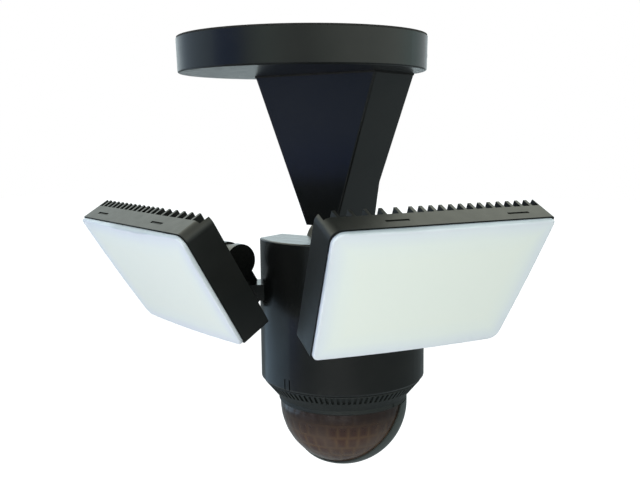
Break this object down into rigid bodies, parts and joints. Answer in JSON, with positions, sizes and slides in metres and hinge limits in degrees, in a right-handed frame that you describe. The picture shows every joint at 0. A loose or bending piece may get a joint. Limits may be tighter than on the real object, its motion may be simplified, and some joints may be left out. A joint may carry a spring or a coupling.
{
  "type": "motion sensor security light",
  "caption": "Ceiling or wall security light: round canopy, tapered arm, tilting sensor body with faceted dome, and lamp heads that swivel and tilt.",
  "frame": {"origin": "centre of the canopy face that lies on the ceiling or wall box", "axes": "+Z out of the canopy into the ceiling, -Z down the arm, -Y to the front of the sensor body, +X to its right seen from the front"},
  "size_m": [0.2543, 0.161, 0.2411],
  "materials": {
    "dark_paint": "die-cast, dark bronze powder coat, satin",
    "dark_plastic": "dark bronze moulded plastic, satin",
    "lens_white": "opal, satin",
    "dome_brown": "smoked brown, faceted inside",
    "foam": "black foam",
    "zinc": "zinc plated",
    "dark_screw": "blackened steel",
    "green_screw": "green zinc",
    "board": "green circuit board",
    "board_white": "white circuit board",
    "electronics": "black and copper components",
    "led": "yellow phosphor"
  },
  "bodies": {
    "ceiling_mount": {"canopy_cover": "dark_paint", "canopy_gasket": "foam", "mounting_plate": "zinc", "canopy_screws": "dark_screw", "ground_screw": "green_screw", "arm_seal": "foam", "arm_shell": "dark_paint", "arm_screws": "zinc"},
    "sensor_body": {"hinge_bolt": "zinc", "hinge_nut": "zinc", "hinge_washers": "zinc", "body_shell": "dark_paint", "body_floor": "dark_plastic", "hub_clip": "zinc", "body_seal": "foam", "floor_screws": "zinc", "driver_board": "board", "driver_parts": "electronics", "sensor_board": "board", "pir_sensor": "zinc", "left_swivel_washer": "zinc", "right_swivel_washer": "zinc"},
    "sensor_turret": {"sensor_ring": "dark_plastic", "sensor_collar": "dark_plastic", "dome_lens": "dome_brown", "sensor_shroud": "dark_plastic"},
    "left_swivel": {"left_neck": "dark_paint", "left_tilt_bolt": "dark_screw", "left_swivel_nut": "zinc"},
    "left_head": {"left_head_housing": "dark_paint", "left_head_gasket": "foam", "left_head_lens": "lens_white", "left_led_board": "board_white", "left_led_chips": "led"},
    "right_swivel": {"right_neck": "dark_paint", "right_tilt_bolt": "dark_screw", "right_swivel_nut": "zinc"},
    "right_head": {"right_head_housing": "dark_paint", "right_head_gasket": "foam", "right_head_lens": "lens_white", "right_led_board": "board_white", "right_led_chips": "led"}
  },
  "joints": [
    {"name": "body_tilt", "type": "hinge", "parent": "ceiling_mount", "child": "sensor_body", "pos_m": [0, 0.036, -0.113], "axis": [1, 0, 0], "range_deg": [-5, 90]},
    {"name": "sensor_turn", "type": "hinge", "parent": "sensor_body", "child": "sensor_turret", "pos_m": [0, 0.036, -0.19], "axis": [0, 0, 1], "range_deg": [-90, 90]},
    {"name": "left_head_swivel", "type": "hinge", "parent": "sensor_body", "child": "left_swivel", "pos_m": [-0.0391, -0.00395, -0.132], "axis": [0, 0, 1], "range_deg": [-57.6, 0.4]},
    {"name": "left_head_tilt", "type": "hinge", "parent": "left_swivel", "child": "left_head", "pos_m": [-0.04149, -0.01158, -0.1183], "axis": [0.9542, -0.299, 0], "range_deg": [-30.8, 9.2]},
    {"name": "right_head_swivel", "type": "hinge", "parent": "sensor_body", "child": "right_swivel", "pos_m": [0.0391, -0.00395, -0.132], "axis": [0, 0, 1], "range_deg": [-38.6, 16.4]},
    {"name": "right_head_tilt", "type": "hinge", "parent": "right_swivel", "child": "right_head", "pos_m": [0.04593, -0.00812, -0.1183], "axis": [0.521, 0.8536, 0], "range_deg": [-23.9, 16.1]}
  ]
}
